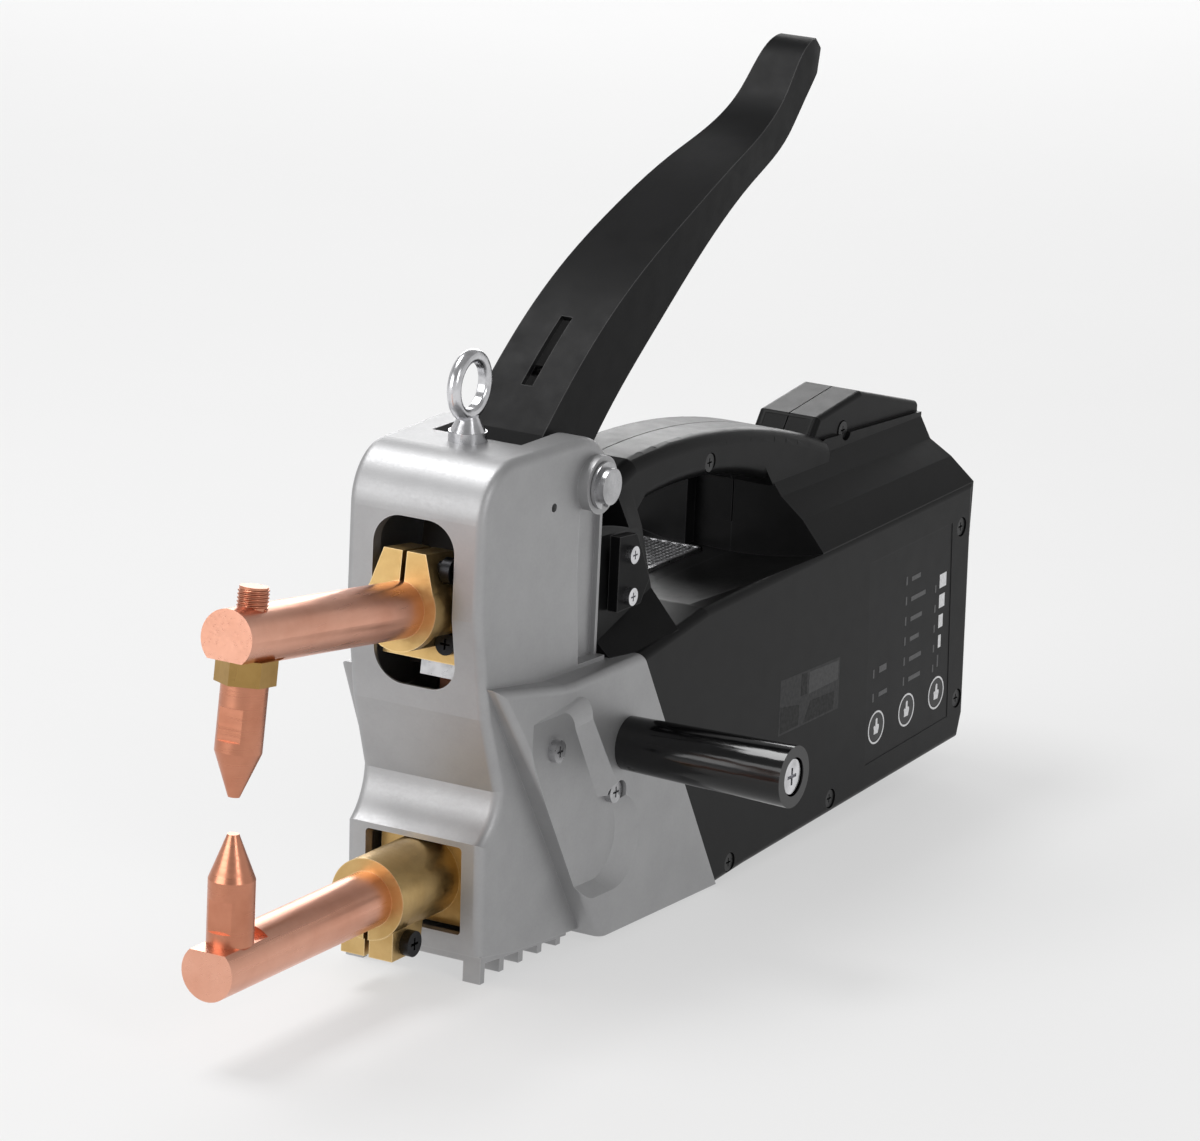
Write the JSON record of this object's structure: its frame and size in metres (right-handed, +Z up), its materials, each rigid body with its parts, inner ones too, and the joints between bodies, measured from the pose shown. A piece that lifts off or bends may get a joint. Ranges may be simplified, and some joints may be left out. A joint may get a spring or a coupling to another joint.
{
  "type": "spot welder",
  "caption": "Hand-held pincer spot welder: fixed lower and rocking upper copper arm, squeeze lever, black housing with transformer, setting panel and side grip.",
  "frame": {"origin": "the weld point, at the middle of the lower electrode's flat tip face", "axes": "+Z up along the lower electrode's axis, +Y along the lower arm towards the rear of the housing, +X out of the side that carries the grip and the setting panel"},
  "size_m": [0.1465, 0.4814, 0.2982],
  "materials": {
    "arm_copper": "polished copper",
    "electrode_copper": "dull copper alloy",
    "cast_brass": "as cast and machined",
    "casting_grey": "satin",
    "body_black": "fine texture, satin",
    "lever_black": "satin powder coat",
    "grip_black": "gloss",
    "bright_zinc": "bright zinc plate",
    "plain_steel": "machined",
    "black_steel": "black oxide",
    "insulator": "laminate board",
    "panel_face": "printed film",
    "key_cap": "satin",
    "circuit_board": "solder mask",
    "winding": "enamelled copper",
    "lamination": "stacked sheet",
    "module_black": "moulded"
  },
  "bodies": {
    "frame": {"lower_arm": "arm_copper", "lower_electrode": "electrode_copper", "lower_clamp": "cast_brass", "lower_clamp_screw": "black_steel", "lower_insulator": "insulator", "return_spring": "plain_steel", "lever_pivot_pin": "plain_steel", "pivot_circlips": "plain_steel", "spring_post": "plain_steel", "rocker_pin": "plain_steel", "front_casting": "casting_grey", "casting_screws": "plain_steel", "lower_guard": "casting_grey", "eye_bolt": "bright_zinc", "side_grip": "grip_black", "side_grip_bolt": "bright_zinc", "right_shell": "body_black", "left_shell": "body_black", "shell_screws": "black_steel", "side_brackets": "lever_black", "bracket_screws": "bright_zinc", "vent_mesh": "plain_steel", "control_panel": "panel_face", "control_board": "circuit_board", "key_switches": "module_black", "cable_gland": "body_black", "gland_nut": "body_black", "transformer_core": "lamination", "secondary_winding": "winding", "primary_coil": "winding", "lower_busbar": "winding", "upper_busbar": "winding", "flexible_shunt": "winding", "power_module": "module_black", "fan_frame": "module_black", "stroke_switch": "module_black"},
    "lever": {"hand_lever": "lever_black", "lever_cam": "plain_steel", "lever_bush": "plain_steel", "lever_cross_pin": "plain_steel"},
    "jaw": {"rocker": "casting_grey", "rocker_insulator": "insulator", "upper_clamp": "cast_brass", "upper_clamp_screw": "black_steel", "shunt_lug": "plain_steel", "upper_arm": "arm_copper", "upper_electrode": "electrode_copper", "electrode_nut": "electrode_copper", "adjusting_screw": "plain_steel", "adjusting_locknut": "plain_steel", "clamp_bolts": "black_steel", "rocker_bushes": "module_black"},
    "fan_rotor_body": {"fan_rotor": "module_black"},
    "switch_plunger_body": {"switch_plunger": "plain_steel"},
    "material_key_body": {"material_key": "key_cap"},
    "thickness_key_body": {"thickness_key": "key_cap"},
    "current_key_body": {"current_key": "key_cap"}
  },
  "joints": [
    {"name": "lever_squeeze", "type": "hinge", "parent": "frame", "child": "lever", "pos_m": [0, 0.1755, 0.0901], "axis": [-1, 0, 0], "range_deg": [0, 30], "stiffness_Nm_per_rad": 4, "springref_deg": -28.65, "deforming": ["return_spring"]},
    {"name": "jaw_rock", "type": "hinge", "parent": "frame", "child": "jaw", "pos_m": [0, 0.1915, 0.0131], "axis": [1, 0, 0], "range_deg": [0, 3.78], "deforming": ["flexible_shunt"]},
    {"name": "fan_spin", "type": "hinge", "parent": "frame", "child": "fan_rotor_body", "pos_m": [-0.016, 0.2915, 0.0195], "axis": [0, 0, 1], "continuous": true},
    {"name": "stroke_switch_press", "type": "slide", "parent": "frame", "child": "switch_plunger_body", "axis": [0, 0, -1], "range_m": [0, 0.001], "stiffness_N_per_m": 600, "springref_m": -0.001},
    {"name": "material_press", "type": "slide", "parent": "frame", "child": "material_key_body", "axis": [-1, 0, 0], "range_m": [0, 0.0004], "stiffness_N_per_m": 1500, "springref_m": -0.0006},
    {"name": "thickness_press", "type": "slide", "parent": "frame", "child": "thickness_key_body", "axis": [-1, 0, 0], "range_m": [0, 0.0004], "stiffness_N_per_m": 1500, "springref_m": -0.0006},
    {"name": "current_press", "type": "slide", "parent": "frame", "child": "current_key_body", "axis": [-1, 0, 0], "range_m": [0, 0.0004], "stiffness_N_per_m": 1500, "springref_m": -0.0006}
  ],
  "couplings": [
    {"joint": "jaw_rock", "follows": "lever_squeeze", "ratio": 0.126}
  ]
}
